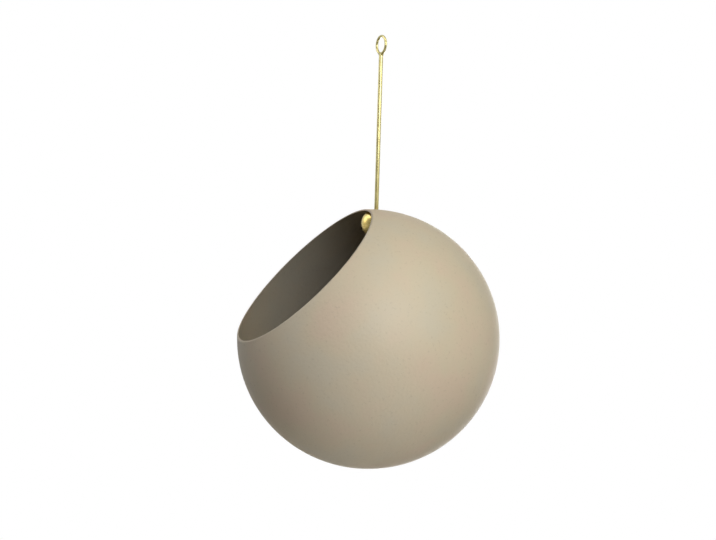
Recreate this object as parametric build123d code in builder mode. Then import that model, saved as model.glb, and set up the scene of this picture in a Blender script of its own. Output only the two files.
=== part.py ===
import os
from math import asin, atan2, cos, radians, sin, sqrt

from build123d import *

os.makedirs("parts", exist_ok=True)

# A globe planter that hangs from a straight rod. The globe's mouth is cut at a slant, so the
# plant grows out to one side of the rod. The rod goes through the top of the globe, and a ball
# nut inside holds the globe up. The globe can be turned on the rod.
# Millimetres, +Z up the rod, origin at the centre of the hanging eye, mouth facing -Y.

# Globe, a thin round shell a little wider than high, open on one side
globe_width = 211.0
globe_height = 208.6
wall = 1.2
mouth_tilt = 47.6  # degrees between the rod and the way the mouth faces
rim_to_rod = 9.9  # level distance from the rim's top edge back to the rod's middle
rod_setback = 3.6  # how far the rod stands behind the globe's centre
rim_chamfer = 0.3

# Rod, with a thin end that goes through the globe into the ball nut
rod_diameter = 3.4
eye_above_globe = 132.7  # from the centre of the eye down to the crest of the globe
shoulder_gap = 0.05
spigot_diameter = 2.6
swivel_clearance = 0.05  # all round the spigot in the globe's hole
end_chamfer = 0.2

# Hanging eye, a wire ring on a short neck, with a shank in the top of the rod
eye_diameter = 14.0  # across the middle of the wire
eye_wire = 2.1
eye_turn = 10.0  # degrees between the ring and the globe's side-to-side line
neck_height = 3.0  # from the top of the rod up to the middle of the wire
neck_spread = 2.6  # half the neck's width where it meets the ring
neck_slimming = 0.15  # keeps the neck inside the wire's thickness
shank_diameter = 1.8
shank_length = 7.0
shank_clearance = 0.05
drill_allowance = 1.0  # each blind hole is deeper than what goes in by this

# Ball nut and the washer that the globe rides on
ball_diameter = 24.0
ball_flat_diameter = 15.5
thread_length = 8.0
thread_clearance = 0.05
thread_lead_in = 0.4
washer_diameter = 10.0
washer_thickness = 0.5
washer_clearance = 0.1  # all round the spigot
seat_gap = 0.15  # between the washer's edge and the inside of the globe

globe_radius = globe_width / 2
inner_radius = globe_radius - wall
globe_centre = Vector(0, -rod_setback, -eye_above_globe - globe_height / 2)
flattening = globe_height / globe_width
# The globe is cut while it is still round, at the angle that its flattening turns into mouth_tilt
cut_tilt = atan2(sin(radians(mouth_tilt)), flattening * cos(radians(mouth_tilt)))
mouth_way = Vector(0, -sin(cut_tilt), cos(cut_tilt))
rim_top_angle = asin((rim_to_rod - rod_setback) / globe_radius)
mouth_distance = globe_radius * cos(cut_tilt - rim_top_angle)


def inside_height(reach):
    """Height of the globe's inner face at a distance from the globe's upright centre line."""
    return globe_centre.Z + flattening * sqrt(inner_radius**2 - reach**2)


rod_bottom = -eye_above_globe + shoulder_gap
rod_top = -eye_diameter / 2 - neck_height
washer_top = inside_height(rod_setback + washer_diameter / 2) - seat_gap
nut_top = washer_top - washer_thickness
spigot_bottom = nut_top - thread_length
ball_centre = nut_top - sqrt((ball_diameter / 2) ** 2 - (ball_flat_diameter / 2) ** 2)

# Globe: a thin arc with its edges broken at the rim, turned about the way the mouth faces, then
# flattened from crest to foot, set in place and drilled for the spigot
with BuildPart() as open_globe:
    with BuildSketch(Plane(origin=(0, 0, 0), x_dir=mouth_way, z_dir=(1, 0, 0))) as shell_section:
        Circle(globe_radius)
        Circle(inner_radius, mode=Mode.SUBTRACT)
        with Locations((mouth_distance, 0)):
            Rectangle(
                globe_width,
                globe_width,
                align=(Align.MAX, Align.MIN),
                mode=Mode.INTERSECT,
            )
        chamfer(shell_section.vertices().group_by(Axis.X)[-1], rim_chamfer)
    revolve(axis=Axis((0, 0, 0), mouth_way))
    scale(by=(1, 1, flattening))

with BuildPart() as globe_shell:
    with Locations(globe_centre):
        add(open_globe.part)
    with Locations((0, 0, rod_bottom)):
        Hole(spigot_diameter / 2 + swivel_clearance, depth=shoulder_gap + 3 * wall)

globe_shell.part.label = "globe_shell"
export_step(globe_shell.part, "parts/globe_shell.step")

# Rod: turned in one piece, with a blind hole in the top for the eye's shank
shank_bore = shank_diameter / 2 + shank_clearance
shank_bore_bottom = rod_top - shank_length - drill_allowance

with BuildPart() as hanging_rod:
    with BuildSketch(Plane.XZ):
        with BuildLine():
            Polyline(
                (0, spigot_bottom),
                (spigot_diameter / 2, spigot_bottom),
                (spigot_diameter / 2, rod_bottom),
                (rod_diameter / 2, rod_bottom),
                (rod_diameter / 2, rod_top),
                (shank_bore, rod_top),
                (shank_bore, shank_bore_bottom),
                (0, shank_bore_bottom),
                close=True,
            )
        make_face()
    revolve(axis=Axis.Z)
    outer_circles = hanging_rod.edges().filter_by(GeomType.CIRCLE).filter_by(
        lambda edge: edge.radius > shank_bore + end_chamfer
    )
    chamfer(outer_circles.sort_by(Axis.Z)[0], end_chamfer)
    chamfer(outer_circles.sort_by(Axis.Z)[-1], end_chamfer)

hanging_rod.part.label = "hanging_rod"
export_step(hanging_rod.part, "parts/hanging_rod.step")

# Eye: a closed wire ring that runs down into a round neck as wide as the rod
ring_way = Vector(1, 0, 0).rotate(Axis.Z, eye_turn)
hole_way = Vector(0, 1, 0).rotate(Axis.Z, eye_turn)
neck_thickness = eye_wire / 2 - neck_slimming

with BuildPart() as hanging_eye:
    with BuildSketch(Plane(origin=(0, 0, 0), x_dir=ring_way, z_dir=(0, 0, 1))):
        with Locations((eye_diameter / 2, 0)):
            Circle(eye_wire / 2)
    revolve(axis=Axis((0, 0, 0), hole_way))
    with BuildSketch(Plane(origin=(0, 0, rod_top), x_dir=ring_way, z_dir=(0, 0, 1))):
        Circle(rod_diameter / 2)
    with BuildSketch(Plane(origin=(0, 0, -eye_diameter / 2), x_dir=ring_way, z_dir=(0, 0, 1))):
        Ellipse(neck_spread, neck_thickness)
    loft()
    with BuildSketch(Plane.XY.offset(rod_top)):
        Circle(shank_diameter / 2)
    extrude(amount=-shank_length)

hanging_eye.part.label = "hanging_eye"
export_step(hanging_eye.part, "parts/hanging_eye.step")

# Washer: flat and thin, between the globe and the nut
with BuildPart() as swivel_washer:
    with BuildSketch(Plane.XY.offset(nut_top)):
        Circle(washer_diameter / 2)
        Circle(spigot_diameter / 2 + washer_clearance, mode=Mode.SUBTRACT)
    extrude(amount=washer_thickness)

swivel_washer.part.label = "swivel_washer"
export_step(swivel_washer.part, "parts/swivel_washer.step")

# Ball nut: a ball with a flat on top, round a blind hole for the spigot's thread
with BuildPart() as ball_nut:
    with Locations((0, 0, ball_centre)):
        Sphere(ball_diameter / 2)
    split(bisect_by=Plane.XY.offset(nut_top), keep=Keep.BOTTOM)
    with Locations((0, 0, nut_top)):
        Hole(spigot_diameter / 2 + thread_clearance, depth=thread_length + drill_allowance)
    flat_edges = ball_nut.faces().sort_by(Axis.Z)[-1].edges()
    chamfer(flat_edges.sort_by(SortBy.RADIUS)[0], thread_lead_in)

ball_nut.part.label = "ball_nut"
export_step(ball_nut.part, "parts/ball_nut.step")
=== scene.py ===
from cmath import phase, rect
from math import asin, atan2, cos, radians, sin

import bpy
from mathutils import Matrix, Vector


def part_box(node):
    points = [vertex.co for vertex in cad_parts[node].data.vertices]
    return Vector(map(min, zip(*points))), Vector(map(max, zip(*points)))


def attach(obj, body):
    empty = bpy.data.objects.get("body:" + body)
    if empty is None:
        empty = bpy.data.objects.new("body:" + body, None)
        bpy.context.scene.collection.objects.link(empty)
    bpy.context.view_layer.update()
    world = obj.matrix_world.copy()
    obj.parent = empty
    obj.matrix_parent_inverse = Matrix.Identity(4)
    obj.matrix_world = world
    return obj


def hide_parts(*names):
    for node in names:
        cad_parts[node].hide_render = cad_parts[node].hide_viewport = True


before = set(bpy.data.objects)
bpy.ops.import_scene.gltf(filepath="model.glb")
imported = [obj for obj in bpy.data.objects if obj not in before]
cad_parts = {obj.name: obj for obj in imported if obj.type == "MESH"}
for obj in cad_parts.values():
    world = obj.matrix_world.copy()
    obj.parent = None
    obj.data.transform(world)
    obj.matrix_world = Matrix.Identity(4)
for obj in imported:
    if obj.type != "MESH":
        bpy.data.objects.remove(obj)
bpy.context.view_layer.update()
mm = 0.001
white = (1.0, 1.0, 1.0, 1.0)
noiseLow, noiseHigh = 0.35, 0.65  # most of a noise texture's values lie between these
print("frame loaded:", ", ".join(sorted(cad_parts)))


# small helpers

def linearColour(hexText):
    # sRGB hex to the linear values that Blender works in
    values = []
    for start in (1, 3, 5):
        level = int(hexText[start:start + 2], 16) / 255
        values.append(level / 12.92 if level <= 0.04045 else ((level + 0.055) / 1.055) ** 2.4)
    return (*values, 1.0)


def addNode(tree, kind, settings=None, inputs=None, links=None):
    # one node with its settings, input values and incoming links
    node = tree.nodes.new(kind)
    for name, value in (settings or {}).items():
        setattr(node, name, value)
    for name, value in (inputs or {}).items():
        node.inputs[name].default_value = value
    for name, source in (links or {}).items():
        tree.links.new(source, node.inputs[name])
    return node


def newMaterial(name):
    material = bpy.data.materials.new(name)
    material.use_nodes = True
    material.node_tree.nodes.clear()
    return material, material.node_tree


def finishMaterial(material, tree, shader):
    addNode(tree, "ShaderNodeOutputMaterial", links={"Surface": shader.outputs["BSDF"]})
    return material


def setStops(ramp, stops):
    # moves a colour ramp's stops, adding what is missing
    stops = list(stops)
    elements = ramp.color_ramp.elements
    while len(elements) < len(stops):
        elements.new(0.5)
    for element, (place, colour) in zip(elements, stops):
        element.position = place
        element.color = colour


def startFresh():
    if bpy.context.mode != "OBJECT":
        bpy.ops.object.mode_set(mode="OBJECT")
    bpy.ops.object.select_all(action="DESELECT")


def takeNew(name):
    # names the primitive just added and puts its place into its mesh
    piece = bpy.context.object
    piece.name = name
    piece.data.name = name
    bpy.ops.object.transform_apply(location=True, rotation=True, scale=True)
    return piece


def pick(piece, kind, test):
    # in edit mode, selects only the vertices, edges or faces that pass the test
    bpy.ops.mesh.select_mode(type={"vertices": "VERT", "edges": "EDGE", "polygons": "FACE"}[kind])
    bpy.ops.mesh.select_all(action="DESELECT")
    bpy.ops.object.mode_set(mode="OBJECT")
    for item in getattr(piece.data, kind):
        item.select = test(item)
    bpy.ops.object.mode_set(mode="EDIT")


def addModifier(piece, kind, **settings):
    modifier = piece.modifiers.new(kind.title(), kind)
    for name, value in settings.items():
        setattr(modifier, name, value)
    bpy.context.view_layer.objects.active = piece
    bpy.ops.object.modifier_apply(modifier=modifier.name)


def finishPiece(piece, material, body, node):
    # gives a finished piece its finish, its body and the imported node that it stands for
    piece.data.materials.clear()
    piece.data.materials.append(material)
    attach(piece, body)
    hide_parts(node)
    print(piece.name, "has", len(piece.data.polygons), "faces")


# finishes

coatSettings = {
    "name": "sandPowderCoatOnSteel",
    "base": "#C6BBA3",
    "warm": "#C9B9A3",
    "cool": "#C3BBA6",
    "cloudSize": 55 * mm,  # slow drift of tint between passes of the spray gun
    "cloudStops": (0.36, 0.5, 0.64),
    "fleck": "#A99E88",
    "fleckSize": 2.4 * mm,
    "fleckStart": 0.6,  # only the noise's highest values make a fleck
    "fleckEnd": 0.74,
    "fleckShare": 0.35,
    "peelSize": 2.6 * mm,  # orange peel from crest to crest
    "peelHeight": 0.17 * mm,
    "peelStrength": 0.85,
    "grainSize": 1.1 * mm,  # powder grain, drawn about twice as coarse as real so that it shows
    "grainHeight": 0.05 * mm,
    "grainStrength": 0.4,
    "roughness": 0.52,
    "smoother": 0.05,
    "rougher": 0.06,
}
# inside, a darker and duller copy of the coat: its darker colour is painted shade for the hollow
innerCoatSettings = {
    **coatSettings,
    "name": "thinPowderCoatInside",
    "base": "#AAA08C",
    "warm": "#AC9F89",
    "cool": "#A6A08F",
    "fleck": "#908776",
    "roughness": 0.62,
}


def powderCoat(settings):
    # Polyester powder coat on steel, sprayed and baked: matt, with a low orange peel that breaks
    # the highlight up, and small flecks where the powder has pooled.
    material, tree = newMaterial(settings["name"])
    place = addNode(tree, "ShaderNodeTexCoord").outputs["Object"]
    clouds = addNode(
        tree, "ShaderNodeTexNoise",
        inputs={"Scale": 1 / settings["cloudSize"], "Detail": 3.0, "Roughness": 0.55},
        links={"Vector": place},
    )
    tint = addNode(tree, "ShaderNodeValToRGB", links={"Fac": clouds.outputs["Fac"]})
    tints = [linearColour(settings[key]) for key in ("warm", "base", "cool")]
    setStops(tint, zip(settings["cloudStops"], tints))
    flecks = addNode(
        tree, "ShaderNodeTexNoise",
        inputs={"Scale": 1 / settings["fleckSize"], "Detail": 2.0, "Roughness": 0.6},
        links={"Vector": place},
    )
    fleckAmount = addNode(
        tree, "ShaderNodeMapRange",
        inputs={
            "From Min": settings["fleckStart"], "From Max": settings["fleckEnd"],
            "To Min": 0.0, "To Max": settings["fleckShare"],
        },
        links={"Value": flecks.outputs["Fac"]},
    )
    colour = addNode(
        tree, "ShaderNodeMix",
        settings={"data_type": "RGBA", "blend_type": "MIX"},
        inputs={7: linearColour(settings["fleck"])},
        links={0: fleckAmount.outputs["Result"], 6: tint.outputs["Color"]},
    )
    peel = addNode(
        tree, "ShaderNodeTexNoise",
        inputs={"Scale": 1 / settings["peelSize"], "Detail": 1.0, "Roughness": 0.5},
        links={"Vector": place},
    )
    grain = addNode(
        tree, "ShaderNodeTexNoise",
        inputs={"Scale": 1 / settings["grainSize"], "Detail": 2.0, "Roughness": 0.6},
        links={"Vector": place},
    )
    peelBump = addNode(
        tree, "ShaderNodeBump",
        inputs={"Strength": settings["peelStrength"], "Distance": settings["peelHeight"]},
        links={"Height": peel.outputs["Fac"]},
    )
    grainBump = addNode(
        tree, "ShaderNodeBump",
        inputs={"Strength": settings["grainStrength"], "Distance": settings["grainHeight"]},
        links={"Height": grain.outputs["Fac"], "Normal": peelBump.outputs["Normal"]},
    )
    roughness = addNode(
        tree, "ShaderNodeMapRange",
        inputs={
            "From Min": noiseLow, "From Max": noiseHigh,
            "To Min": settings["roughness"] - settings["smoother"],
            "To Max": settings["roughness"] + settings["rougher"],
        },
        links={"Value": grain.outputs["Fac"]},
    )
    shader = addNode(
        tree, "ShaderNodeBsdfPrincipled",
        inputs={"IOR": 1.5},
        links={
            "Base Color": colour.outputs[2],
            "Roughness": roughness.outputs["Result"],
            "Normal": grainBump.outputs["Normal"],
        },
    )
    return finishMaterial(material, tree, shader)


brassSettings = {
    "bright": "#D2C98F",
    "dull": "#BAAF76",
    "dullSize": 9 * mm,
    "dullStops": (0.38, 0.68),
    "markHeight": 0.008 * mm,
    "markStrength": 0.35,
    "smoother": 0.8,  # shares of the roughness, between the marks and in them
    "rougher": 1.35,
}
# wire pulled through a die, with faint lines along it that spread the light round the rod
drawnBrassSettings = {
    **brassSettings,
    "name": "drawnBrassRod",
    "markAcross": 0.22 * mm,
    "markAlong": 24 * mm,
    "roughness": 0.38,
}
# wire bent, brazed and buffed smooth
buffedBrassSettings = {
    **brassSettings,
    "name": "buffedBrassEye",
    "markAcross": 1.111 * mm,
    "markAlong": 1.111 * mm,
    "roughness": 0.16,
}
# turned on a lathe, with faint rings round its axis, and polished brighter than the wire
turnedBrassSettings = {
    **brassSettings,
    "name": "turnedPolishedBrass",
    "bright": "#E9D58A",
    "dull": "#D3B96F",
    "markAcross": 50 * mm,
    "markAlong": 0.35 * mm,
    "roughness": 0.25,
}


def brass(settings):
    # Bare brass, a little dulled in patches. The marks that working it left are too fine to see
    # one by one, and they spread what it mirrors.
    material, tree = newMaterial(settings["name"])
    place = addNode(tree, "ShaderNodeTexCoord").outputs["Object"]
    patches = addNode(
        tree, "ShaderNodeTexNoise",
        inputs={"Scale": 1 / settings["dullSize"], "Detail": 3.0, "Roughness": 0.6},
        links={"Vector": place},
    )
    colour = addNode(tree, "ShaderNodeValToRGB", links={"Fac": patches.outputs["Fac"]})
    tints = [linearColour(settings[key]) for key in ("bright", "dull")]
    setStops(colour, zip(settings["dullStops"], tints))
    across, along = 1 / settings["markAcross"], 1 / settings["markAlong"]
    mapping = addNode(
        tree, "ShaderNodeMapping",
        inputs={"Scale": (across, across, along)}, links={"Vector": place},
    )
    marks = addNode(
        tree, "ShaderNodeTexNoise",
        inputs={"Scale": 1.0, "Detail": 2.0, "Roughness": 0.5},
        links={"Vector": mapping.outputs["Vector"]},
    )
    spread = addNode(
        tree, "ShaderNodeMapRange",
        inputs={
            "From Min": noiseLow, "From Max": noiseHigh,
            "To Min": settings["roughness"] * settings["smoother"],
            "To Max": settings["roughness"] * settings["rougher"],
        },
        links={"Value": marks.outputs["Fac"]},
    )
    bump = addNode(
        tree, "ShaderNodeBump",
        inputs={"Strength": settings["markStrength"], "Distance": settings["markHeight"]},
        links={"Height": marks.outputs["Fac"]},
    )
    shader = addNode(
        tree, "ShaderNodeBsdfPrincipled",
        inputs={"Metallic": 1.0},
        links={
            "Base Color": colour.outputs["Color"],
            "Roughness": spread.outputs["Result"],
            "Normal": bump.outputs["Normal"],
        },
    )
    return finishMaterial(material, tree, shader)


rubberSettings = {
    "name": "blackNitrileRubber",
    "black": "#1D1C1B",
    "bloom": "#34312E",
    "bloomSize": 1.6 * mm,
    "bloomStops": (0.4, 0.75),
    "bloomHeight": 0.03 * mm,
    "bloomStrength": 0.3,
    "roughness": 0.72,
}


def nitrileRubber(settings):
    # Nitrile rubber, punched from moulded sheet: matt near-black with a faint grey bloom.
    material, tree = newMaterial(settings["name"])
    place = addNode(tree, "ShaderNodeTexCoord").outputs["Object"]
    bloom = addNode(
        tree, "ShaderNodeTexNoise",
        inputs={"Scale": 1 / settings["bloomSize"], "Detail": 3.0},
        links={"Vector": place},
    )
    colour = addNode(tree, "ShaderNodeValToRGB", links={"Fac": bloom.outputs["Fac"]})
    tints = [linearColour(settings[key]) for key in ("black", "bloom")]
    setStops(colour, zip(settings["bloomStops"], tints))
    bump = addNode(
        tree, "ShaderNodeBump",
        inputs={"Strength": settings["bloomStrength"], "Distance": settings["bloomHeight"]},
        links={"Height": bloom.outputs["Fac"]},
    )
    shader = addNode(
        tree, "ShaderNodeBsdfPrincipled",
        inputs={"Roughness": settings["roughness"], "IOR": 1.52},
        links={"Base Color": colour.outputs["Color"], "Normal": bump.outputs["Normal"]},
    )
    return finishMaterial(material, tree, shader)


coat = powderCoat(coatSettings)
innerCoat = powderCoat(innerCoatSettings)
drawnBrass = brass(drawnBrassSettings)
buffedBrass = brass(buffedBrassSettings)
turnedBrass = brass(turnedBrassSettings)
rubber = nitrileRubber(rubberSettings)
print("finishes made")


# globe

globeSettings = {
    "wall": 1.2 * mm,
    "flattening": 208.6 / 211,  # the globe is a little wider than high
    "mouthTilt": 47.6,  # degrees between the rod and the way the mouth faces
    "rimTop": 6.3 * mm,  # level distance from the globe's middle forward to the rim's top edge
    "spareRim": 1.5 * mm,  # cut off again once the wall has its thickness
    "rimRound": 0.3 * mm,
    "rimSegments": 3,
    "segments": 192,
    "rings": 96,
    "rodHole": 1.35 * mm,  # radius
    "holeSegments": 48,
    "drillLength": 8 * mm,
    "smoothAngle": 40,
    "innerReach": 104.6 * mm,  # the inner skin lies nearer to the centre than this
    "flatWithin": 0.01 * mm,  # how close to the rim's plane a rim corner lies
    "levelWithin": 0.1 * mm,  # how much nearer to its middle an edge along the rim may end
}


def makeGlobe(settings):
    low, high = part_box("globe_shell")
    radius = (high.x - low.x) / 2
    centre = Vector((0, high.y - radius, (low.z + high.z) / 2))
    # it is made round and flattened last, which turns the mouth to its real tilt
    realTilt = radians(settings["mouthTilt"])
    tilt = atan2(sin(realTilt), settings["flattening"] * cos(realTilt))
    mouthDistance = radius * cos(tilt - asin(settings["rimTop"] / radius))
    mouthWay = Vector((0, -sin(tilt), cos(tilt)))
    startFresh()
    # the sphere's poles lie on the mouth's axis, so that its rings run level with the rim
    bpy.ops.mesh.primitive_uv_sphere_add(
        segments=settings["segments"], ring_count=settings["rings"],
        radius=radius, location=centre, rotation=(tilt, 0, 0),
    )
    globe = takeNew("globePot")
    bpy.ops.object.mode_set(mode="EDIT")
    bpy.ops.mesh.select_all(action="SELECT")
    bpy.ops.mesh.bisect(
        plane_co=centre + mouthWay * (mouthDistance + settings["spareRim"]),
        plane_no=mouthWay, clear_outer=True,
    )
    bpy.ops.object.mode_set(mode="OBJECT")
    addModifier(
        globe, "SOLIDIFY", thickness=settings["wall"], offset=-1.0,
        use_even_offset=True, use_rim=False,
    )
    # the rim is cut flat through both skins and then closed
    rimPlace = centre + mouthWay * mouthDistance
    bpy.ops.object.mode_set(mode="EDIT")
    bpy.ops.mesh.select_all(action="SELECT")
    bpy.ops.mesh.bisect(plane_co=rimPlace, plane_no=mouthWay, clear_outer=True)
    bpy.ops.mesh.select_mode(type="EDGE")
    bpy.ops.mesh.select_all(action="DESELECT")
    bpy.ops.mesh.select_non_manifold()
    bpy.ops.mesh.bridge_edge_loops()

    def onRim(edge):
        ends = [globe.data.vertices[i].co for i in edge.vertices]
        if any(abs((end - rimPlace).dot(mouthWay)) > settings["flatWithin"] for end in ends):
            return False
        inOut = (ends[0] - rimPlace).length - (ends[1] - rimPlace).length
        return abs(inOut) < settings["levelWithin"]

    pick(globe, "edges", onRim)
    bpy.ops.mesh.bevel(offset=settings["rimRound"], segments=settings["rimSegments"], affect="EDGES")
    bpy.ops.mesh.select_all(action="SELECT")
    bpy.ops.transform.resize(value=(1, 1, settings["flattening"]), center_override=centre)
    bpy.ops.object.mode_set(mode="OBJECT")
    # hole for the rod's thin end
    startFresh()
    bpy.ops.mesh.primitive_cylinder_add(
        vertices=settings["holeSegments"], radius=settings["rodHole"],
        depth=settings["drillLength"], location=(0, 0, high.z),
    )
    drill = takeNew("rodHoleDrill")
    addModifier(globe, "BOOLEAN", operation="DIFFERENCE", object=drill, solver="EXACT")
    bpy.data.objects.remove(drill)
    startFresh()
    globe.select_set(True)
    bpy.context.view_layer.objects.active = globe
    bpy.ops.object.shade_smooth_by_angle(angle=radians(settings["smoothAngle"]))
    return globe


def coatInside(piece, material, centre, reach):
    # gives the skin that faces the centre the darker inside coat, whose darker colour is painted
    # shade
    piece.data.materials.append(material)
    for face in piece.data.polygons:
        outward = face.center - centre
        if face.normal.dot(outward) < 0 and outward.length < reach:
            face.material_index = 1


globeCentre = Vector((0, -3.6 * mm, -237.0 * mm))  # the lamps and the camera aim at it too
globe = makeGlobe(globeSettings)
finishPiece(globe, coat, "globe", "globe_shell")
coatInside(globe, innerCoat, globeCentre, globeSettings["innerReach"])


# rod

rodSettings = {
    "endBreak": 0.2 * mm,
    "spigotRadius": 1.3 * mm,
    "boreRadius": 0.95 * mm,
    "boreDepth": 8 * mm,
    "foot": -132.65 * mm,  # where the full thickness ends, just above the globe's crown
    "levelWithin": 0.1 * mm,  # an edge that rises less than this runs round an end
    "segments": 64,
    "breakSegments": 2,
    "smoothAngle": 30,
}


def makeRod(settings):
    low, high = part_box("hanging_rod")
    radius = (high.x - low.x) / 2
    length = high.z - settings["foot"]
    startFresh()
    bpy.ops.mesh.primitive_cylinder_add(
        vertices=settings["segments"], radius=radius, depth=length, end_fill_type="NGON",
        location=(0, 0, settings["foot"] + length / 2),
    )
    rod = takeNew("drawnRod")
    bpy.ops.object.mode_set(mode="EDIT")
    # both ends have their edges broken
    corners = rod.data.vertices
    pick(rod, "edges", lambda edge: abs(
        corners[edge.vertices[0]].co.z - corners[edge.vertices[1]].co.z
    ) < settings["levelWithin"])
    bpy.ops.mesh.bevel(
        offset=settings["endBreak"], segments=settings["breakSegments"], affect="EDGES"
    )
    # thin end for the ball nut, and a blind bore in the top for the eye's shank
    pick(rod, "polygons", lambda face: face.normal.z < -0.9 and len(face.vertices) > 4)
    bpy.ops.mesh.inset(thickness=radius - settings["endBreak"] - settings["spigotRadius"])
    bpy.ops.mesh.extrude_region_move(
        TRANSFORM_OT_translate={"value": (0, 0, low.z - settings["foot"])}
    )
    pick(rod, "polygons", lambda face: face.normal.z > 0.9 and len(face.vertices) > 4)
    bpy.ops.mesh.inset(thickness=radius - settings["endBreak"] - settings["boreRadius"])
    bpy.ops.mesh.extrude_region_move(
        TRANSFORM_OT_translate={"value": (0, 0, -settings["boreDepth"])}
    )
    bpy.ops.object.mode_set(mode="OBJECT")
    bpy.ops.object.shade_smooth_by_angle(angle=radians(settings["smoothAngle"]))
    return rod


rod = makeRod(rodSettings)
finishPiece(rod, drawnBrass, "hanger", "hanging_rod")


# eye

eyeSettings = {
    "ringRadius": 7.0 * mm,  # to the middle of the wire
    "wireRadius": 1.05 * mm,
    "turn": 10.0,  # degrees between the ring and the globe's side-to-side line
    "neckEnd": -10.0 * mm,  # where the neck stands on the rod
    "neckRadius": 1.65 * mm,
    "shankRadius": 0.9 * mm,
    "shankEnd": -16.9 * mm,  # down in the rod's bore
    "neckSpread": 2.1 * mm,  # how far to each side along the ring the neck takes hold
    "neckStep": 1.0 * mm,  # down from the ring, before the neck's end is set in place
    "loopGap": 0.1 * mm,  # between the loops that keep an edge crisp
    "ringSegments": 32,
    "wireSegments": 12,
    "subdivisions": 3,
}


def makeEye(settings):
    # the cage is a little large, because subdividing draws it in
    wireCage = settings["wireRadius"] * 3 / (2 + cos(radians(360 / settings["wireSegments"])))
    ringCage = settings["ringRadius"] * 3 / (2 + cos(radians(360 / settings["ringSegments"])))
    startFresh()
    bpy.ops.mesh.primitive_torus_add(
        major_segments=settings["ringSegments"], minor_segments=settings["wireSegments"],
        major_radius=ringCage, minor_radius=wireCage,
        rotation=(radians(90), 0, radians(settings["turn"])),
    )
    eye = takeNew("hangingRing")
    bpy.ops.object.mode_set(mode="EDIT")
    # the neck grows out of the underside of the ring
    pick(eye, "polygons", lambda face: face.normal.z < -0.5
         and face.center.z < -settings["ringRadius"]
         and abs(face.center.x) < settings["neckSpread"])
    bpy.ops.mesh.extrude_region_move(
        TRANSFORM_OT_translate={"value": (0, 0, -settings["neckStep"])}
    )
    bpy.ops.mesh.dissolve_faces()
    bpy.ops.object.mode_set(mode="OBJECT")
    # the end's corners are set evenly round a circle, with as little twist as they allow
    end = next(face for face in eye.data.polygons if face.select)
    corners = [eye.data.vertices[index].co for index in end.vertices]
    step = rect(1, radians(-360) / len(corners))
    start = phase(sum(complex(corner.x, corner.y) / step ** i for i, corner in enumerate(corners)))
    for i, corner in enumerate(corners):
        place = rect(settings["neckRadius"], start) * step ** i
        corner.x, corner.y, corner.z = place.real, place.imag, settings["neckEnd"]
    bpy.ops.object.mode_set(mode="EDIT")
    # close loops keep the neck's end flat, and the shank goes on into the rod's bore
    gap = settings["loopGap"]
    for inset in (gap, settings["neckRadius"] - settings["shankRadius"] - 2 * gap, gap):
        bpy.ops.mesh.inset(thickness=inset)
    shankLength = settings["neckEnd"] - settings["shankEnd"]
    for drop in (2 * gap, shankLength - 4 * gap, 2 * gap):
        bpy.ops.mesh.extrude_region_move(TRANSFORM_OT_translate={"value": (0, 0, -drop)})
    bpy.ops.object.mode_set(mode="OBJECT")
    addModifier(
        eye, "SUBSURF", levels=settings["subdivisions"], render_levels=settings["subdivisions"]
    )
    bpy.ops.object.shade_smooth()
    return eye


eye = makeEye(eyeSettings)
finishPiece(eye, buffedBrass, "hanger", "hanging_eye")


# ball nut and washer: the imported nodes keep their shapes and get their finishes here

for nodeName, finish in (("ball_nut", turnedBrass), ("swivel_washer", rubber)):
    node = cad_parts[nodeName]
    node.data.materials.clear()
    node.data.materials.append(finish)
print("ball nut and washer finished")


# studio

floorSettings = {
    "height": -1.5,
    "radius": 3.0,
    "segments": 96,
    "edge": 0.5,
    "paint": "#F2F0EC",
    "roughness": 0.9,
    "fadeStart": 0.3,  # the floor runs out into the white backdrop between these distances
    "fadeEnd": 1.8,
    "fadeLeast": 0.5,  # how white the floor's middle already is
}


def makeFloor(settings):
    startFresh()
    bpy.ops.mesh.primitive_circle_add(
        vertices=settings["segments"], radius=settings["radius"], fill_type="NGON",
        location=(0, 0, settings["height"]),
    )
    floor = takeNew("studioFloor")
    bpy.ops.object.mode_set(mode="EDIT")
    bpy.ops.mesh.select_all(action="SELECT")
    bpy.ops.mesh.inset(thickness=settings["edge"])
    bpy.ops.object.mode_set(mode="OBJECT")
    # matt floor paint, seen whiter the further it is from the globe
    material, tree = newMaterial("paintedStudioFloor")
    shader = addNode(
        tree, "ShaderNodeBsdfPrincipled",
        inputs={
            "Base Color": linearColour(settings["paint"]), "Roughness": settings["roughness"],
        },
    )
    place = addNode(tree, "ShaderNodeTexCoord").outputs["Object"]
    level = addNode(
        tree, "ShaderNodeVectorMath", settings={"operation": "MULTIPLY"},
        inputs={1: (1.0, 1.0, 0.0)}, links={0: place},
    )
    away = addNode(
        tree, "ShaderNodeVectorMath", settings={"operation": "LENGTH"},
        links={0: level.outputs["Vector"]},
    )
    fade = addNode(
        tree, "ShaderNodeMapRange", settings={"interpolation_type": "SMOOTHSTEP"},
        inputs={
            "From Min": settings["fadeStart"], "From Max": settings["fadeEnd"],
            "To Min": settings["fadeLeast"], "To Max": 1.0,
        },
        links={"Value": away.outputs["Value"]},
    )
    rays = addNode(tree, "ShaderNodeLightPath")
    whiteShare = addNode(
        tree, "ShaderNodeMath", settings={"operation": "MULTIPLY"},
        links={0: fade.outputs["Result"], 1: rays.outputs["Is Camera Ray"]},
    )
    glow = addNode(tree, "ShaderNodeEmission", inputs={"Color": white, "Strength": 1.0})
    surface = addNode(
        tree, "ShaderNodeMixShader",
        links={0: whiteShare.outputs[0], 1: shader.outputs["BSDF"], 2: glow.outputs[0]},
    )
    addNode(tree, "ShaderNodeOutputMaterial", links={"Surface": surface.outputs[0]})
    floor.data.materials.append(material)


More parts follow.
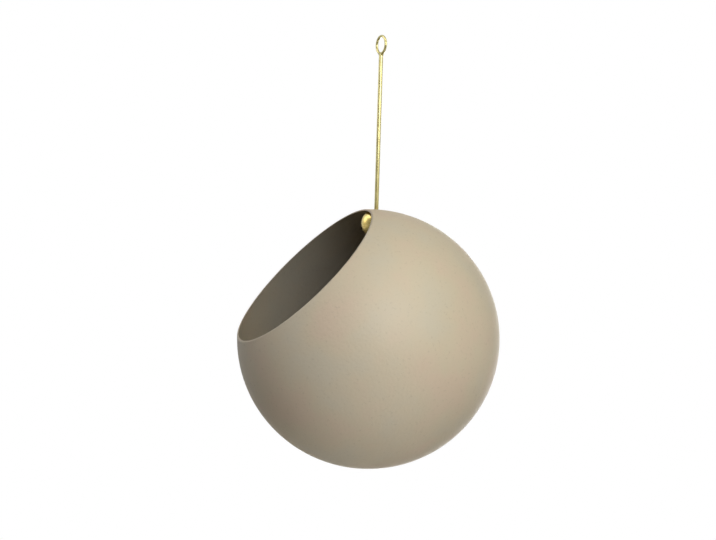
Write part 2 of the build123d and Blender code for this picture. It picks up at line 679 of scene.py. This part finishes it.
worldSettings = {
    "fill": 0.02,  # light from all round, for matt surfaces
    "mirrored": 0.74,  # the backdrop as metal mirrors it
    "roomSide": (0.643, -0.766, 0.0),  # towards the darker part of the room that metal mirrors
    "roomLevel": 0.32,
    "roomStart": 0.5,  # cosines of the angle off that side, where it starts and is darkest
    "roomFull": 0.95,
    "softboxSide": (-0.47, -0.81, 0.35),  # towards a softbox that only metal mirrors
    "softboxLevel": 2.0,
    "softboxStart": 0.93,
    "softboxFull": 0.97,
}


def makeWorld(settings):
    world = bpy.data.worlds.new("studioWorld")
    bpy.context.scene.world = world
    world.use_nodes = True
    tree = world.node_tree
    tree.nodes.clear()
    rays = addNode(tree, "ShaderNodeLightPath")
    cameraOrGlossy = addNode(
        tree, "ShaderNodeMath", settings={"operation": "MAXIMUM"},
        links={0: rays.outputs["Is Camera Ray"], 1: rays.outputs["Is Glossy Ray"]},
    )
    seen = addNode(
        tree, "ShaderNodeMath", settings={"operation": "MAXIMUM"},
        links={0: cameraOrGlossy.outputs[0], 1: rays.outputs["Is Transmission Ray"]},
    )
    fill = addNode(
        tree, "ShaderNodeBackground", inputs={"Color": white, "Strength": settings["fill"]}
    )
    # what metal mirrors: the backdrop, a darker room on the mouth's side and the softbox
    way = addNode(tree, "ShaderNodeTexCoord").outputs["Generated"]
    towardsRoom = addNode(
        tree, "ShaderNodeVectorMath", settings={"operation": "DOT_PRODUCT"},
        inputs={1: settings["roomSide"]}, links={0: way},
    )
    roomLevel = addNode(
        tree, "ShaderNodeMapRange", settings={"interpolation_type": "SMOOTHSTEP"},
        inputs={
            "From Min": settings["roomStart"], "From Max": settings["roomFull"],
            "To Min": settings["mirrored"], "To Max": settings["roomLevel"],
        },
        links={"Value": towardsRoom.outputs["Value"]},
    )
    towardsSoftbox = addNode(
        tree, "ShaderNodeVectorMath", settings={"operation": "DOT_PRODUCT"},
        inputs={1: settings["softboxSide"]}, links={0: way},
    )
    softbox = addNode(
        tree, "ShaderNodeMapRange",
        inputs={
            "From Min": settings["softboxStart"], "From Max": settings["softboxFull"],
            "To Min": 0.0, "To Max": settings["softboxLevel"],
        },
        links={"Value": towardsSoftbox.outputs["Value"]},
    )
    mirrored = addNode(
        tree, "ShaderNodeMath", settings={"operation": "MAXIMUM"},
        links={0: roomLevel.outputs["Result"], 1: softbox.outputs["Result"]},
    )
    # what the camera sees straight is plain white
    whiteLevel = addNode(
        tree, "ShaderNodeMix", settings={"data_type": "FLOAT"}, inputs={3: 1.0},
        links={0: rays.outputs["Is Camera Ray"], 2: mirrored.outputs[0]},
    )
    backdrop = addNode(
        tree, "ShaderNodeBackground", inputs={"Color": white},
        links={"Strength": whiteLevel.outputs[0]},
    )
    both = addNode(
        tree, "ShaderNodeMixShader",
        links={0: seen.outputs[0], 1: fill.outputs[0], 2: backdrop.outputs[0]},
    )
    addNode(tree, "ShaderNodeOutputWorld", links={"Surface": both.outputs[0]})


lampSettings = {
    # places in metres, about 2.2 m from the globe, and 1.5 m for the low lamp
    "front": {"place": (2.063, -0.06, 0.524), "size": 1.5, "power": 30.7, "colour": "#F9F8FF"},
    "right": {"place": (1.99, 0.668, 0.419), "size": 1.5, "power": 5.6, "colour": "#FFF8CE"},
    "top": {"place": (1.309, -0.247, 1.514), "size": 1.5, "power": 4.7, "colour": "#FFFBEE"},
    "topRight": {"place": (1.007, 0.813, 1.541), "size": 1.5, "power": 9.5, "colour": "#FFF8D8"},
    "topLeft": {"place": (-0.244, -1.313, 1.514), "size": 1.5, "power": 8.0, "colour": "#FFF7FA"},
    "low": {"place": (0.986, 0.117, -1.36), "size": 1.0, "power": 2.2, "colour": "#FFF6F4"},
    # from behind, for the side that the photograph hides
    "back": {"place": (-1.9, 1.05, -0.4), "size": 1.5, "power": 20.0, "colour": "#FFFFFF"},
}


def addLamp(name, settings, aim):
    startFresh()
    bpy.ops.object.light_add(type="AREA", location=settings["place"])
    lamp = bpy.context.object
    lamp.name = name
    lamp.data.shape = "DISK"
    lamp.data.size = settings["size"]
    lamp.data.energy = settings["power"]
    lamp.data.color = linearColour(settings["colour"])[:3]
    lamp.visible_camera = False  # the studio's own lamps stay out of the picture
    lamp.rotation_euler = (aim - lamp.location).to_track_quat("-Z", "Y").to_euler()


makeFloor(floorSettings)
makeWorld(worldSettings)
for lampName, settings in lampSettings.items():
    addLamp(lampName + "Lamp", settings, globeCentre)
print("studio lit")


# camera

cameraSettings = {
    "azimuth": 70.0,  # degrees round from the side that the mouth faces
    "roll": 1.718,  # the rod leans a little to the right in the picture
    "distance": 1610 * mm,
    "lens": 100.56,
    "sensor": 36,
    "right": -8.3 * mm,  # from the globe's centre to the middle of the picture
    "up": 55.37 * mm,
}


def addCamera(settings, aim):
    azimuth, roll = radians(settings["azimuth"]), radians(settings["roll"])
    back = Vector((sin(azimuth), -cos(azimuth), 0))
    level = Vector((cos(azimuth), sin(azimuth), 0))
    right = level * cos(roll) + Vector((0, 0, sin(roll)))
    up = back.cross(right)
    startFresh()
    bpy.ops.object.camera_add()
    camera = bpy.context.object
    camera.name = "photoCamera"
    camera.data.lens = settings["lens"]
    camera.data.sensor_width = settings["sensor"]
    camera.location = aim + back * settings["distance"]
    camera.location += right * settings["right"] + up * settings["up"]
    camera.rotation_euler = Matrix((right, up, back)).transposed().to_euler()
    bpy.context.scene.camera = camera


addCamera(cameraSettings, globeCentre)
bpy.context.scene.view_settings.view_transform = "Standard"

print("camera set")
